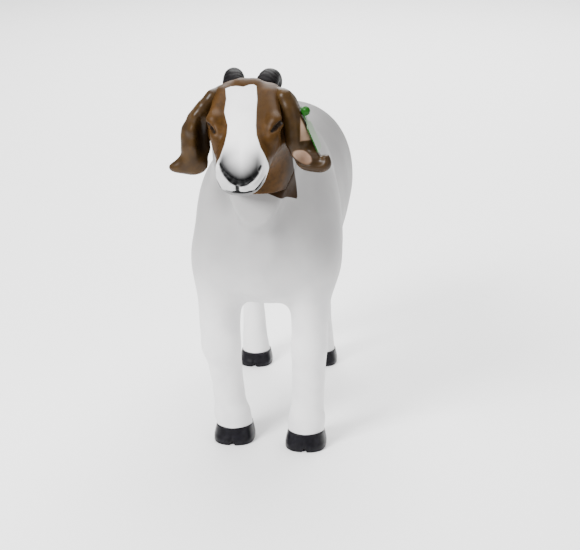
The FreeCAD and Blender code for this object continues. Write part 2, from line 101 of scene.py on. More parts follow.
class Clay:
    """A block of space sampled on a grid, in millimetres. Negative inside the shape."""

    def __init__(self, low, high, step):
        self.low, self.step = np.array(low, float), step
        counts = [int((b - a) / step) + 1 for a, b in zip(low, high)]
        self.axes = [self.low[k] + step * np.arange(counts[k]) for k in range(3)]
        self.field = np.full(counts, FAR_OUTSIDE, np.float32)

    def window(self, low, high):
        """Slices and coordinates of the grid between two corners."""
        cut = []
        for k in range(3):
            first = np.searchsorted(self.axes[k], low[k])
            last = np.searchsorted(self.axes[k], high[k])
            cut.append(slice(max(first, 0), max(last, 1)))
        x, y, z = (self.axes[k][cut[k]].astype(np.float32) for k in range(3))
        return tuple(cut), x[:, None, None], y[None, :, None], z[None, None, :]

    def add(self, shape, low, high, blend=12.0):
        """Adds a shape within a box, rounded into what is there."""
        cut, x, y, z = self.window(low, high)
        if self.field[cut].size:
            self.field[cut] = smooth_min(self.field[cut], shape(x, y, z), blend)

    def carve(self, shape, low, high, blend=6.0):
        """Takes a shape away within a box, with a rounded edge."""
        cut, x, y, z = self.window(low, high)
        if self.field[cut].size:
            self.field[cut] = -smooth_min(-self.field[cut], shape(x, y, z), blend)

    def add_pebble(self, centre, radii, margin, blend):
        """Adds an ellipsoid, worked out no further than the margin from its middle."""
        self.add(pebble(centre, radii), *around([centre], margin), blend)

    def add_stick(self, start, end, first, last, margin, blend):
        """Adds a rounded stick, worked out no further than the margin from its ends."""
        self.add(capsule(start, end, first, last), *around([start, end], margin), blend)

    def mesh(self):
        """Points in millimetres and the quads and triangles of the surface."""
        grid = openvdb.FloatGrid()
        grid.copyFromArray(np.ascontiguousarray(self.field, dtype=np.float32))
        points, quads = grid.convertToQuads(isovalue=0.0)
        return self.low + points.astype(float) * self.step, quads


def limb(origin, along, across, up, rows, power=2.0):
    """A shape whose sections are set by a table along a straight line.

    Each row is place, offset across, offset up, half width, rise, drop and taper.
    """
    table = smooth_table(rows, 400)
    place = table[:, 0]

    def shape(x, y, z):
        dx, dy, dz = x - origin[0], y - origin[1], z - origin[2]
        s = dx * along[0] + dy * along[1] + dz * along[2]
        u = dx * across[0] + dy * across[1] + dz * across[2]
        v = dx * up[0] + dy * up[1] + dz * up[2]
        s, u, v = np.broadcast_arrays(s, u, v)
        mid_u, mid_v, half, rise, drop, taper = (np.interp(s, place, table[:, k]) for k in range(1, 7))
        u, v = u - mid_u, v - mid_v
        reach = np.where(v > 0, rise, drop)
        half = half * (1 + taper * np.clip(v / reach, -1, 1))
        ratio = (np.abs(u / half) ** power + np.abs(v / reach) ** power) ** (1 / power) + 1e-6
        size = np.hypot(u, v) + 1e-6
        inside = size * (1 - 1 / ratio)
        past = np.maximum(np.maximum(place[0] - s, s - place[-1]), 0)
        return np.where(past > 0, np.hypot(np.maximum(inside, 0), past), inside).astype(np.float32)

    return shape


def pebble(centre, radii):
    """An ellipsoid with its axes along x, y and z."""

    def shape(x, y, z):
        offsets = (x - centre[0], y - centre[1], z - centre[2])
        k0 = np.sqrt(sum((offsets[k] / radii[k]) ** 2 for k in range(3))) + 1e-6
        k1 = np.sqrt(sum((offsets[k] / radii[k] ** 2) ** 2 for k in range(3))) + 1e-9
        return k0 * (k0 - 1) / k1

    return shape


def capsule(start, end, first, last):
    """A rounded stick between two points with a radius at each end."""
    a, b = np.array(start, float), np.array(end, float)
    run = b - a
    square = float(run @ run)

    def shape(x, y, z):
        dx, dy, dz = x - a[0], y - a[1], z - a[2]
        t = np.clip((dx * run[0] + dy * run[1] + dz * run[2]) / square, 0, 1)
        gap = np.sqrt((dx - run[0] * t) ** 2 + (dy - run[1] * t) ** 2 + (dz - run[2] * t) ** 2)
        return gap - (first + (last - first) * t)

    return shape


def around(points, margin):
    """The corners of a box round some points."""
    points = np.array(points, float)
    return points.min(axis=0) - margin, points.max(axis=0) + margin


# --- the goat's tables, in millimetres ---

CHEST_Y, TRUNK_LENGTH, BACK, BARREL = -285.0, 574.0, 584.0, 127.0
# shares: place along, back line, belly line, half width, level of the widest place, taper
TRUNK = [
    (0.000, 0.740, 0.620, 0.12, 0.680, 0.00),
    (0.016, 0.805, 0.560, 0.48, 0.670, -0.08),
    (0.047, 0.875, 0.508, 0.77, 0.660, -0.16),
    (0.096, 0.935, 0.466, 0.92, 0.655, -0.22),
    (0.166, 0.975, 0.452, 0.98, 0.660, -0.24),
    (0.270, 1.003, 0.452, 0.97, 0.690, -0.18),
    (0.410, 0.996, 0.460, 0.98, 0.715, -0.10),
    (0.550, 0.982, 0.466, 1.005, 0.725, -0.05),
    (0.690, 0.970, 0.486, 1.005, 0.730, -0.04),
    (0.810, 0.946, 0.530, 0.935, 0.735, -0.03),
    (0.906, 0.905, 0.600, 0.785, 0.750, 0.02),
    (0.963, 0.852, 0.670, 0.51, 0.760, 0.00),
    (0.991, 0.810, 0.720, 0.24, 0.765, 0.00),
    (1.000, 0.790, 0.745, 0.07, 0.767, 0.00),
]
NECK_ROOT = np.array([0.0, -150.0, 470.0])
NECK_ALONG = np.array([0.0, -math.sqrt(0.5), math.sqrt(0.5)])
NECK_NAPE = np.array([0.0, math.sqrt(0.5), math.sqrt(0.5)])
# place along, offset across, offset to the nape, half width, rise, drop, taper
NECK = [
    (-60, 0, 0, 60, 70, 70, 0),
    (0, 0, 0, 98, 107, 104, 0),
    (60, -3, 0, 88, 94, 98, -0.2),
    (110, -7, 0, 76, 82, 88, -0.3),
    (160, -11, 0, 66, 68, 78, -0.4),
    (205, -14, 0, 60, 60, 66, -0.4),
    (232, -16, 0, 56, 52, 50, -0.3),
    (252, -17, 0, 40, 38, 34, 0),
    (262, -17, 0, 20, 20, 16, 0),
]
POLL = np.array([-12.0, -325.0, 689.0])
FACE_SLOPE = math.radians(38)
FACE_DOWN = np.array([0.0, -math.cos(FACE_SLOPE), -math.sin(FACE_SLOPE)])
FACE_OUT = np.array([0.0, -math.sin(FACE_SLOPE), math.cos(FACE_SLOPE)])
# place down the face, middle's offset across, top line, half width, depth, taper
HEAD = [
    (-26, -5, -34, 12, 26, 0.00),
    (-20, -5, -24, 28, 56, 0.00),
    (-8, -5, -14, 42, 90, 0.04),
    (10, -5, -7, 50, 106, 0.08),
    (30, -4, -4, 54, 115, 0.12),
    (50, -3, -3, 55, 118, 0.12),
    (75, -2, -4, 52, 115, 0.08),
    (100, -1, -4, 48, 103, 0.04),
    (128, 0, -3, 44, 85, 0.00),
    (155, 0, -2, 42, 68, -0.04),
    (176, 0, -3, 39, 60, -0.06),
    (190, 0, -7, 34, 50, -0.06),
    (200, 0, -14, 26, 37, -0.04),
    (205, 0, -21, 12, 20, 0.00),
]
# level, distance out, y, half width, half depth
FORELEG = {
    LEFT: [
        (370, 78, -196, 26, 34),
        (330, 76, -200, 35, 46),
        (285, 77, -203, 36, 50),
        (235, 77, -207, 33, 42),
        (190, 77, -212, 31.5, 35),
        (150, 76, -212, 30.5, 30),
        (104, 75, -212, 29.5, 27.5),
        (75, 74, -212, 29.5, 28),
        (50, 73, -214, 31.5, 32),
        (27, 72, -217, 33, 35),
        (14, 72, -218, 31, 33),
    ],
    RIGHT: [
        (370, 78, -196, 26, 34),
        (330, 81, -200, 37, 46),
        (285, 84, -203, 40, 50),
        (235, 85, -207, 37, 43),
        (190, 82, -212, 35, 36),
        (150, 77, -209, 31, 31),
        (104, 72, -204, 29, 28),
        (75, 69, -201, 29, 28),
        (50, 65, -200, 31.5, 32),
        (27, 61, -200, 33, 35),
        (14, 61, -201, 31, 33),
    ],
}
HINDLEG = {
    LEFT: [
        (450, 58, 160, 34, 52),
        (400, 60, 166, 40, 68),
        (350, 62, 171, 38, 72),
        (300, 58, 180, 33, 60),
        (250, 55, 195, 27, 44),
        (210, 54, 210, 25, 37),
        (175, 57, 221, 23.5, 33),
        (135, 58, 221, 21, 27),
        (95, 58, 217, 22.5, 25),
        (58, 60, 215, 24.5, 27),
        (25, 60, 213, 28, 31),
        (14, 60, 212, 27, 29),
    ],
    RIGHT: [
        (450, 58, 160, 34, 52),
        (400, 62, 166, 40, 68),
        (350, 68, 171, 40, 72),
        (300, 75, 180, 38, 62),
        (250, 80, 193, 32, 46),
        (210, 82, 207, 27, 38),
        (175, 82, 215, 23.5, 34),
        (135, 81, 212, 21, 27),
        (95, 78, 205, 23, 25),
        (58, 76, 200, 25, 27),
        (25, 73, 196, 28, 31),
        (14, 73, 195, 27, 29),
    ],
}
# swellings in front of the horns: x, y, z, radius at each end
CREST = [
    ((-46, -314, 661, 12), (-27, -316, 672, 12)),
    ((-27, -316, 672, 12), (-17, -316, 667, 12)),
    ((-17, -316, 667, 12), (-4, -316, 672, 12)),
    ((-4, -316, 672, 12), (20, -314, 660, 13)),
]
# grooves of the face: place down it, depth under it, side, radius
EYE_SLIT = {
    LEFT: [(99, 13, 45, 1.2), (92, 11, 51, 2.4), (83, 11, 56, 3.0), (70, 15, 61, 3.2), (56, 21, 64, 2.4)],
    RIGHT: [(103, 14, -47, 1.0), (96, 14, -53, 1.8), (88, 14, -58, 2.2), (80, 16, -62, 1.8)],
}
NOSE_CREASE = [
    (166, 14, -31, 1.4), (176, 12, -28, 2.0), (184, 11, -23.5, 2.8), (191, 12, -17, 3.6), (198, 15, -8, 4.6),
    (201, 18, 2, 5.0), (199, 18, 12, 4.4), (191, 15, 24, 3.2), (178, 14, 32, 2.2), (167, 15, 35, 1.4),
]
MOUTH = [
    (166, 36, -42, 1.2), (180, 33, -37, 2.0), (192, 34, -31, 2.2), (199, 36, -18, 2.2), (204, 36, -4, 2.2),
    (203, 38, 7, 2.2), (200, 37, 18, 2.2), (194, 35, 30, 2.2), (184, 32, 39, 2.0), (170, 36, 43, 1.2),
]
PHILTRUM = [(202, 18, 0, 1.6), (205, 27, -1, 1.8), (204, 36, -1, 1.6)]
# the upper lip on each side: place down the face, depth under it, side, radius
UPPER_LIP = [(200, 26, 8, 6.0), (193, 25, 21, 7.0), (179, 25, 29, 7.5)]
# where head and neck are joined: a point of the seam and the way the head faces
HEAD_PLANE = (np.array([0.0, -240.0, 690.0]), np.array([0.0, -0.954, 0.298]))
EAR_MIDDLE = -12.0


def face_point(along, below, side):
    """A point of the head: down the face, under the face line and to the goat's left."""
    return POLL + FACE_DOWN * along - FACE_OUT * below + np.array([side, 0.0, 0.0])


def trunk_rows():
    """The trunk's table as rows for limb, in millimetres."""
    rows = []
    for along, top, bottom, half, level, taper in TRUNK:
        rows.append((
            TRUNK_LENGTH * along, 0, BACK * level, BARREL * half,
            BACK * (top - level), BACK * (level - bottom), taper,
        ))
    return rows


def head_rows():
    """The head's table as rows for limb: its line runs down the middle of each section."""
    return [
        (place, offset, top - depth / 2, half, depth / 2, depth / 2, taper)
        for place, offset, top, half, depth, taper in HEAD
    ]


def leg_rows(rows):
    """A leg's table as rows for limb, from the hoof up."""
    return [(level, x, y, half, reach, reach, 0) for level, x, y, half, reach in rows]


TRUNK_ROUNDNESS, NECK_ROUNDNESS, HEAD_ROUNDNESS = 2.15, 2.1, 2.35
NECK_BOX = ((-140, -420, 300), (140, 40, 760))
HEAD_BOX = ((-200, -600, 400), (200, -200, 800))
# the throat's swelling: middle and radii
THROAT = ((-6, -300, 520), (46, 40, 90))
# rows of the legs' tables
KNEE, PASTERN, HOCK, CORONET = 4, 8, 6, -3
SHOULDER_OUT = 79
ELBOW_OUT = {LEFT: 75, RIGHT: 82}


def model_body(clay):
    """Trunk, neck and legs with the muscles that show through the moulding."""
    clay.add(limb((0, CHEST_Y, 0), Y, X, Z, trunk_rows(), TRUNK_ROUNDNESS), *WHOLE, 10)
    clay.add(limb(NECK_ROOT, NECK_ALONG, X, NECK_NAPE, NECK, NECK_ROUNDNESS), *NECK_BOX, 46)
    clay.add_pebble((0, -262, 372), (74, 34, 78), 130, 40)
    clay.add_pebble(*THROAT, 130, 34)
    for side in (LEFT, RIGHT):
        fore, hind = FORELEG[side], HINDLEG[side]
        clay.add_pebble((side * SHOULDER_OUT, -176, 412), (42, 66, 92), 150, 34)
        clay.add_pebble((side * ELBOW_OUT[side], -216, 342), (42, 50, 62), 110, 34)
        low, high = (min(0, side * 150), -320, -40), (max(0, side * 150), -80, 460)
        clay.add(limb((0, 0, 0), Z, (side, 0, 0), Y, leg_rows(fore)), low, high, 26)
        _, out, y, half, _ = fore[KNEE]
        clay.add_pebble((side * out, y - 13, 186), (half - 5, 24, 30), 70, 16)
        _, out, y, half, _ = fore[PASTERN]
        clay.add_pebble((side * out, y - 4, 52), (half - 1, 29, 19), 60, 12)
        # thigh
        clay.add_pebble((side * 50, 184, 424), (42, 72, 84), 160, 26)
        clay.add_pebble((side * 56, 176, 366), (36, 66, 72), 130, 24)
        low, high = (min(0, side * 150), 60, -40), (max(0, side * 150), 330, 520)
        clay.add(limb((0, 0, 0), Z, (side, 0, 0), Y, leg_rows(hind)), low, high, 24)
        _, out, y, _, _ = hind[HOCK]
        tendon = capsule((side * out, y + 16, 182), (side * out, y - 10, 250), 14, 12)
        clay.add(tendon, *around([(side * out, y + 16, 200)], 90), 16)
        # dewclaws
        for leg, level, back in ((fore, 52, 26), (hind, 54, 24)):
            _, out, y, _, _ = leg[CORONET]
            for apart in (-11, 11):
                clay.add_pebble((side * out + apart, y + back, level), (6, 7, 9), 30, 6)


def model_head(clay):
    """Skull, brows, lids, muzzle, nostrils and mouth."""
    clay.add(limb(POLL, FACE_DOWN, X, FACE_OUT, head_rows(), HEAD_ROUNDNESS), *HEAD_BOX, 26)
    for start, end in CREST:
        clay.add_stick(start[:3], end[:3], start[3], end[3], 60, 14)
    for side in (LEFT, RIGHT):
        # temple and brow
        clay.add_stick(face_point(22, 16, side * 38 - 4), face_point(78, 15, side * 50 - 2), 13, 12, 50, 16)
        clay.add_stick(face_point(78, 14, side * 49), face_point(104, 22, side * 40), 10, 6, 50, 12)
        # lower lid, cheekbone and jaw
        clay.add_pebble(face_point(98, 28, side * 46), (11, 17, 13), 50, 10)
        clay.add_stick(face_point(112, 42, side * 42), face_point(60, 66, side * 52), 7, 12, 60, 18)
        clay.add_pebble(face_point(26, 92, side * 40), (20, 30, 28), 80, 24)
        # the ear's root
        start, end = (EAR_MIDDLE + side * 36, -314, 666), (EAR_MIDDLE + side * 56, -328, 655)
        clay.add_stick(start, end, 13, 10, 50, 14)
        for before, after in zip(UPPER_LIP, UPPER_LIP[1:]):
            start = face_point(before[0], before[1], side * before[2])
            end = face_point(after[0], after[1], side * after[2])
            clay.add_stick(start, end, before[3], after[3], 40, 6)
        engrave(clay, EYE_SLIT[side], 5)
    engrave(clay, NOSE_CREASE, 4)
    engrave(clay, MOUTH, 3)
    engrave(clay, PHILTRUM, 3)


def engrave(clay, beads, blend):
    """Carves a groove along beads given as place down the face, depth under it, side and radius."""
    for before, after in zip(beads, beads[1:]):
        start, end = face_point(*before[:3]), face_point(*after[:3])
        clay.carve(capsule(start, end, before[3], after[3]), *around([start, end], 30), blend)


def plane_side(sign, overlap):
    """The half of space on one side of the seam between head and neck."""
    point, normal = HEAD_PLANE

    def shape(x, y, z):
        gap = (y - point[1]) * normal[1] + (z - point[2]) * normal[2] + 0 * x
        return (sign * gap - overlap).astype(np.float32)

    return shape


def make_mesh(name, points, faces):
    """An object from points in millimetres in the goat's own frame."""
    mesh = bpy.data.meshes.new(name)
    mesh.from_pydata(((np.asarray(points) + SHIFT) * MM).tolist(), [], [list(map(int, f)) for f in faces])
    mesh.validate()
    mesh.polygons.foreach_set("use_smooth", [True] * len(mesh.polygons))
    made = bpy.data.objects.new(name, mesh)
    bpy.context.scene.collection.objects.link(made)
    return made


def set_attribute(made, name, values):
    """A number for each point of the mesh, for its material to read."""
    layer = made.data.attributes.new(name, "FLOAT", "POINT")
    layer.data.foreach_set("value", np.asarray(values, np.float32))


def settle(points, faces, rounds, share=0.5):
    """Evens out a dense surface by drawing each point towards its neighbours' mean."""
    faces = np.asarray(faces)
    edges = np.concatenate([faces[:, [k, (k + 1) % faces.shape[1]]] for k in range(faces.shape[1])])
    start, end = np.concatenate([edges[:, 0], edges[:, 1]]), np.concatenate([edges[:, 1], edges[:, 0]])
    count = np.maximum(np.bincount(start, minlength=len(points)), 1)
    for _ in range(rounds):
        mean = np.column_stack([
            np.bincount(start, weights=points[end, k], minlength=len(points)) / count for k in range(3)
        ])
        points = points + share * (mean - points)
    return points


# --- paint lines, as signed millimetres from each edge ---

# the blaze's edges: place down the face, side
BLAZE_LEFT = [
    (0, -38), (18, -38), (41, -34), (66, -35), (91, -27), (108, -26), (131, -28), (154, -33), (162, -40),
    (174, -70), (230, -90),
]
BLAZE_RIGHT = [
    (0, 12), (12, 12), (39, 16), (65, 17), (93, 19), (112, 22), (133, 30), (148, 41), (158, 70), (230, 90),
]
# the blaze's ragged top: side, place down the face
BLAZE_TOP = [(-60, 20), (-38, 20), (-30, 14), (-22, 13), (-9, 15), (0, 11), (7, 10), (14, 13), (60, 19)]


def head_places(points):
    """Distance down the face, depth under it and distance to the side, for each point."""
    from_poll = points - POLL
    return from_poll @ FACE_DOWN, -(from_poll @ FACE_OUT), from_poll[:, 0]


def brown_edge(points):
    """Positive where the paint is brown: head but for the blaze and muzzle, and the patch on the throat."""
    down, below, side = head_places(points)
    left = np.interp(down, *zip(*BLAZE_LEFT))
    right = np.interp(down, *zip(*BLAZE_RIGHT))
    top = np.interp(side, *zip(*BLAZE_TOP))
    blaze = np.minimum(np.minimum(side - left, right - side), down - top)
    front_face = 46 - below
    blaze = np.minimum(blaze, front_face)
    muzzle = down - 157 + 9 * np.clip(side / 40, -1, 1) - 0.2 * np.abs(below - 30)
    chin = np.minimum(np.minimum(below - 17 - 0.45 * (side + 42), -10 - side), down - 150)
    muzzle = np.minimum(np.minimum(muzzle, 78 - below), -chin)
    white = np.maximum(blaze, muzzle)
    behind = -(points[:, 1] + 296) + 0.15 * (points[:, 2] - 640)
    head = np.minimum(behind, -white)
    lower = points[:, 2] - (474 + 0.36 * (61 - points[:, 0]))
    right = np.interp(points[:, 2], [480, 563, 578, 600], [61, 56, 42, 10]) - points[:, 0]
    patch = np.minimum(np.minimum(lower, right), points[:, 0] + 60)
    patch = np.minimum(patch, 640 - points[:, 2])
    patch = np.minimum(np.minimum(patch, -250 - points[:, 1]), points[:, 1] + 350)
    return np.maximum(head, patch)


def line_gap(points, beads):
    """How far each point lies outside a groove of the face."""
    gaps = []
    for before, after in zip(beads, beads[1:]):
        start, end = face_point(*before[:3]), face_point(*after[:3])
        run = end - start
        t = np.clip(((points - start) @ run) / (run @ run), 0, 1)
        radius = before[3] + (after[3] - before[3]) * t
        gaps.append(np.linalg.norm(points - (start + t[:, None] * run), axis=1) - radius)
    return np.min(gaps, axis=0)


def nose_shade(points):
    """Painted shade: black in the crease under the nose pad and fading up the pad, black in the grooves of
    mouth and lip, grey under the chin, a light grey over the lips.
    """
    down, below, side = head_places(points)
    gap = np.maximum(line_gap(points, NOSE_CREASE), 0)
    crease_places = np.array(NOSE_CREASE)
    above = np.interp(side, crease_places[:, 2], crease_places[:, 0]) - down
    pad = 0.92 * np.clip(1 - gap / 52, 0, 1) ** 2.6 * np.clip(above / 4 + 0.6, 0, 1)
    pad *= np.clip((38 - np.abs(side)) / 10, 0, 1) * np.clip((30 - below) / 8, 0, 1)
    line = np.clip((2.4 - gap) / 2.0, 0, 1)
    mouth = 0.9 * np.clip((2.8 - line_gap(points, MOUTH)) / 2.4, 0, 1)
    seam = 0.9 * np.clip((2.6 - line_gap(points, PHILTRUM)) / 2.2, 0, 1)
    under = 0.55 * np.clip((below - 31) / 8, 0, 1) * np.clip((down - 168) / 14, 0, 1)
    lips = 0.20 * np.clip((down - 160) / 20, 0, 1)
    strength = np.clip(np.max([pad, line, mouth, seam, under, lips], axis=0), 0, 1)
    return 1 - (1 - strength) ** 2.2


def throat_shade(points):
    """How far a point lies in the painted shade on the throat."""
    return np.clip((points[:, 1] + 352) / 20, 0, 1) * np.clip((594 - points[:, 2]) / 24, 0, 1)


def soft_step(value):
    """0 below 0, 1 above 1 and an even S between."""
    value = np.clip(value, 0, 1)
    return value * value * (3 - 2 * value)


def body_shade(points):
    """Painted shade in soft greys: deeper over the trunk than on the legs and deepest on the back and
    throat.
    """
    trunk = soft_step((points[:, 2] - 180) / 250)
    rear = soft_step((points[:, 1] + 290) / 460)
    top = soft_step((points[:, 2] - 430) / 160)
    patch = np.clip(brown_edge(points) / 2, 0, 1)
    grey = 0.10 + 0.58 * trunk + 0.17 * rear * trunk + 0.08 * top
    # on the brown patch, only the throat's painted shade
    return grey * (1 - patch) + 0.62 * throat_shade(points) * patch


def face_shade(points):
    """Painted shade: dark in the eye slits and in the pockets behind the cheeks, and the body's painted
    shade behind the head and on the throat.
    """
    dark = np.zeros(len(points))
    for side in (LEFT, RIGHT):
        dark = np.maximum(dark, np.clip((3.0 - line_gap(points, EYE_SLIT[side])) / 3.0, 0, 1))
        pocket = np.linalg.norm((points - face_point(80, 46, side * 56)) / np.array([14, 18, 22]), axis=1)
        dark = np.maximum(dark, 0.8 * np.clip(1.5 * (1 - pocket), 0, 1))
    behind = soft_step((points[:, 1] + 322) / 22)
    return np.maximum(dark, body_shade(points) * behind)


def outward(made):
    """Turns every face of a closed mesh to point outwards."""
    shape = bmesh.new()
    shape.from_mesh(made.data)
    bmesh.ops.recalc_face_normals(shape, faces=shape.faces)
    shape.to_mesh(made.data)
    shape.free()


# --- materials ---


def linear(hex_code):
    """The linear colour of an sRGB hex code."""
    parts = [int(hex_code[i:i + 2], 16) / 255 for i in (1, 3, 5)]
    return tuple(c / 12.92 if c <= 0.04045 else ((c + 0.055) / 1.055) ** 2.4 for c in parts) + (1.0,)


def add_node(tree, kind, inputs=None, **settings):
    """A node with its settings, its input values and its links."""
    node = tree.nodes.new(kind)
    for key, value in settings.items():
        setattr(node, key, value)
    for key, value in (inputs or {}).items():
        socket = node.inputs[key]
        if isinstance(value, bpy.types.NodeSocket):
            tree.links.new(value, socket)
        else:
            socket.default_value = value
    return node


def new_material(name, roughness, coat=0.0, mirror=0.11):
    """A material with its shader and output, and the Object coordinates its patterns read."""
    made = bpy.data.materials.new(name)
    made.use_nodes = True
    tree = made.node_tree
    tree.nodes.clear()
    output = add_node(tree, "ShaderNodeOutputMaterial")
    shader = add_node(tree, "ShaderNodeBsdfPrincipled", {
        "Roughness": roughness, "IOR": 1.5, "Specular IOR Level": mirror,
        "Coat Weight": coat, "Coat Roughness": 0.25,
    })
    tree.links.new(shader.outputs[0], output.inputs[0])
    places = add_node(tree, "ShaderNodeTexCoord").outputs["Object"]
    return made, tree, shader, places


def mix(tree, share, first, second):
    """Two colours mixed by a share."""
    node = add_node(tree, "ShaderNodeMix", data_type="RGBA")
    for index, value in ((0, share), (6, first), (7, second)):
        if isinstance(value, bpy.types.NodeSocket):
            tree.links.new(value, node.inputs[index])
        else:
            node.inputs[index].default_value = value
    return node.outputs[2]


def ramp(tree, value, low, high):
    """0 below low and 1 above high."""
    node = add_node(tree, "ShaderNodeMapRange", {0: value, 1: low, 2: high}, interpolation_type="SMOOTHSTEP")
    return node.outputs[0]


def noise(tree, places, millimetres, detail=3.0):
    """Noise whose blotches are about that many millimetres across."""
    node = add_node(
        tree, "ShaderNodeTexNoise", {"Vector": places, "Scale": 1000 / millimetres, "Detail": detail}
    )
    return node.outputs["Fac"]


def painted_shell():
    """Satin polyurethane paint over glass-fibre: a low even sheen, painted shade in greys and near-blacks,
    and hand-cut edges.
    """
    made, tree, shader, places = new_material("painted_glass_fibre", 0.45, 0.0)
    brown_place = add_node(tree, "ShaderNodeAttribute", attribute_name="brown").outputs["Fac"]
    nose_place = add_node(tree, "ShaderNodeAttribute", attribute_name="nose").outputs["Fac"]
    dark_place = add_node(tree, "ShaderNodeAttribute", attribute_name="shade").outputs["Fac"]
    cloud = noise(tree, places, 60.0)
    fine = noise(tree, places, 9.0)
    white = mix(tree, ramp(tree, cloud, 0.40, 0.64), linear("#f3f2f2"), linear("#ebeaeb"))
    # painted shade: grey over the body, darkest on back and throat, dark in eye slits and cheek pockets
    white = mix(tree, dark_place, white, linear("#5a5857"))
    # painted shade: black in the creases of nose and mouth
    white = mix(tree, nose_place, white, linear("#0c0c0d"))
    brown = mix(tree, ramp(tree, cloud, 0.35, 0.65), linear("#452c0b"), linear("#38240a"))
    brown = mix(tree, ramp(tree, fine, 0.35, 0.75), brown, linear("#332008"))
    # painted shade on the brown: near black on the throat, in the eye slits and cheek pockets
    brown = mix(tree, dark_place, brown, linear("#120c08"))
    colour = mix(tree, ramp(tree, brown_place, -0.7, 0.7), white, brown)
    tree.links.new(colour, shader.inputs["Base Color"])
    grain = noise(tree, places, 3.0, 2.0)
    orange_peel = add_node(tree, "ShaderNodeBump", {"Height": grain, "Strength": 0.05, "Distance": 0.001})
    tree.links.new(orange_peel.outputs[0], shader.inputs["Normal"])
    return made


def finish_piece(made, material, nodes, body):
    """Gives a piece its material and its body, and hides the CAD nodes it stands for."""
    if made.data.materials:
        made.data.materials[0] = material
    else:
        made.data.materials.append(material)
    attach(made, body)
    if nodes:
        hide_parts(*nodes)
    return made


# --- building ---

SHELL = painted_shell()
BODY_STEP, HEAD_STEP = 3.6, 1.7
body_clay = Clay((-150, -420, 8), (150, 310, 720), BODY_STEP)
model_body(body_clay)
body_clay.add(limb(POLL, FACE_DOWN, X, FACE_OUT, head_rows(), HEAD_ROUNDNESS), *HEAD_BOX, 26)
body_clay.carve(plane_side(-1, 0.0), *WHOLE, 1.0)
body_points, body_faces = body_clay.mesh()
body_points = settle(body_points, body_faces, 2)
skin = make_mesh("body_skin", body_points, body_faces)
set_attribute(skin, "brown", brown_edge(body_points))
set_attribute(skin, "nose", np.zeros(len(body_points)))
# painted shade over the body
set_attribute(skin, "shade", body_shade(body_points))
SHELL_PARTS = ("body_shell", "foreleg", "hindleg")
shell_nodes = [f"{part}_{side}" for part in SHELL_PARTS for side in SIDE_NAMES.values()]
finish_piece(skin, SHELL, shell_nodes, "figure")

head_clay = Clay((-92, -502, 500), (78, -215, 726), HEAD_STEP)
head_clay.add(limb(NECK_ROOT, NECK_ALONG, X, NECK_NAPE, NECK, NECK_ROUNDNESS), *NECK_BOX, 46)
head_clay.add_pebble(*THROAT, 130, 34)
model_head(head_clay)
head_clay.carve(plane_side(1, 0.0), *WHOLE, 1.0)
head_points, head_faces = head_clay.mesh()
head_points = settle(head_points, head_faces, 2)
head = make_mesh("head_skin", head_points, head_faces)
set_attribute(head, "brown", brown_edge(head_points))
# painted shade at the nose pad, mouth and chin
set_attribute(head, "nose", nose_shade(head_points))
# painted shade in the eye slits, the cheek pockets and behind the head
set_attribute(head, "shade", face_shade(head_points))
finish_piece(head, SHELL, ["head_shell"], "figure")


# --- ears ---

TAG_LEAN = math.radians(24)
TAG_OUT = np.array([math.cos(TAG_LEAN), 0.0, math.sin(TAG_LEAN)])
TAG_UP = np.array([-math.sin(TAG_LEAN), 0.0, math.cos(TAG_LEAN)])
TAG_PLACE = np.array([70.0, -331.0, 635.0])
# strings of rounded swellings: out from the head's middle, y, z, radius
LEFT_EAR = [
    # the roll along the front edge
    [(46, -322, 668, 9), (57.5, -333, 662, 11.5), (66, -339, 645, 12), (70, -342, 628, 12),
     (72, -343, 610, 11.5), (74, -343, 592, 11.5), (79, -342, 573, 11)],
    # the outer face and the back edge
    [(58, -320, 658, 9), (72, -330, 648, 8), (78, -333, 630, 8), (83, -333, 608, 8), (86, -333, 586, 9)],
    [(74, -330, 651, 6), (82, -333, 636, 6), (89, -334, 613, 6.5), (95, -334, 590, 7)],
    [(60, -314, 662, 7), (74, -322, 652, 6), (82, -322, 636, 6), (92, -322, 612, 6.5), (99, -324, 588, 7)],
]
RIGHT_EAR = [
    [(46, -322, 668, 9), (60, -334, 661, 9), (74, -342, 645, 9), (84, -346, 629, 9), (90, -347, 606, 9.5),
     (91, -346, 581, 10), (93, -343, 562, 11)],
    [(48, -318, 664, 9), (63, -328, 652, 9), (79, -332, 636, 9.5), (91, -334, 622, 10),
     (100, -335, 604, 10.5), (101, -336, 590, 10.5), (100, -337, 572, 11), (101, -337, 556, 11)],
    [(50, -316, 650, 12), (64, -325, 642, 12), (78, -332, 628, 11), (84, -334, 608, 11), (86, -334, 586, 11),
     (88, -335, 562, 12)],
    [(56, -312, 650, 9), (68, -318, 632, 8), (75, -321, 612, 8), (78, -322, 592, 8.5), (78, -326, 572, 9),
     (84, -331, 553, 11)],
]


def ear_place(side, out, y, z):
    """A point of an ear from its distance out from the head's middle."""
    return (EAR_MIDDLE + side * out, y, z)


def add_string(clay, side, beads, blend):
    """Adds a string of swellings joined by tapering sticks."""
    for before, after in zip(beads, beads[1:]):
        start, end = ear_place(side, *before[:3]), ear_place(side, *after[:3])
        clay.add_stick(start, end, before[3], after[3], 40, blend)


def from_tag(x, y, z):
    """Distances from the tag's place: along its axis and off it."""
    dx, dy, dz = x - TAG_PLACE[0], y - TAG_PLACE[1], z - TAG_PLACE[2]
    along = dx * TAG_OUT[0] + dz * TAG_OUT[2] + 0 * dy
    return along, np.sqrt(np.maximum(dx * dx + dy * dy + dz * dz - along * along, 0))


def swing_space(x, y, z):
    """The disc of air that the flag sweeps outside the ear."""
    along, off = from_tag(x, y, z)
    return np.maximum(4.3 - along, off - 79).astype(np.float32)


def button_space(x, y, z):
    """The recess for the stud's button on the inner side of the ear."""
    along, off = from_tag(x, y, z)
    return np.maximum(np.maximum(along + 7.4, -24 - along), off - 9.3).astype(np.float32)


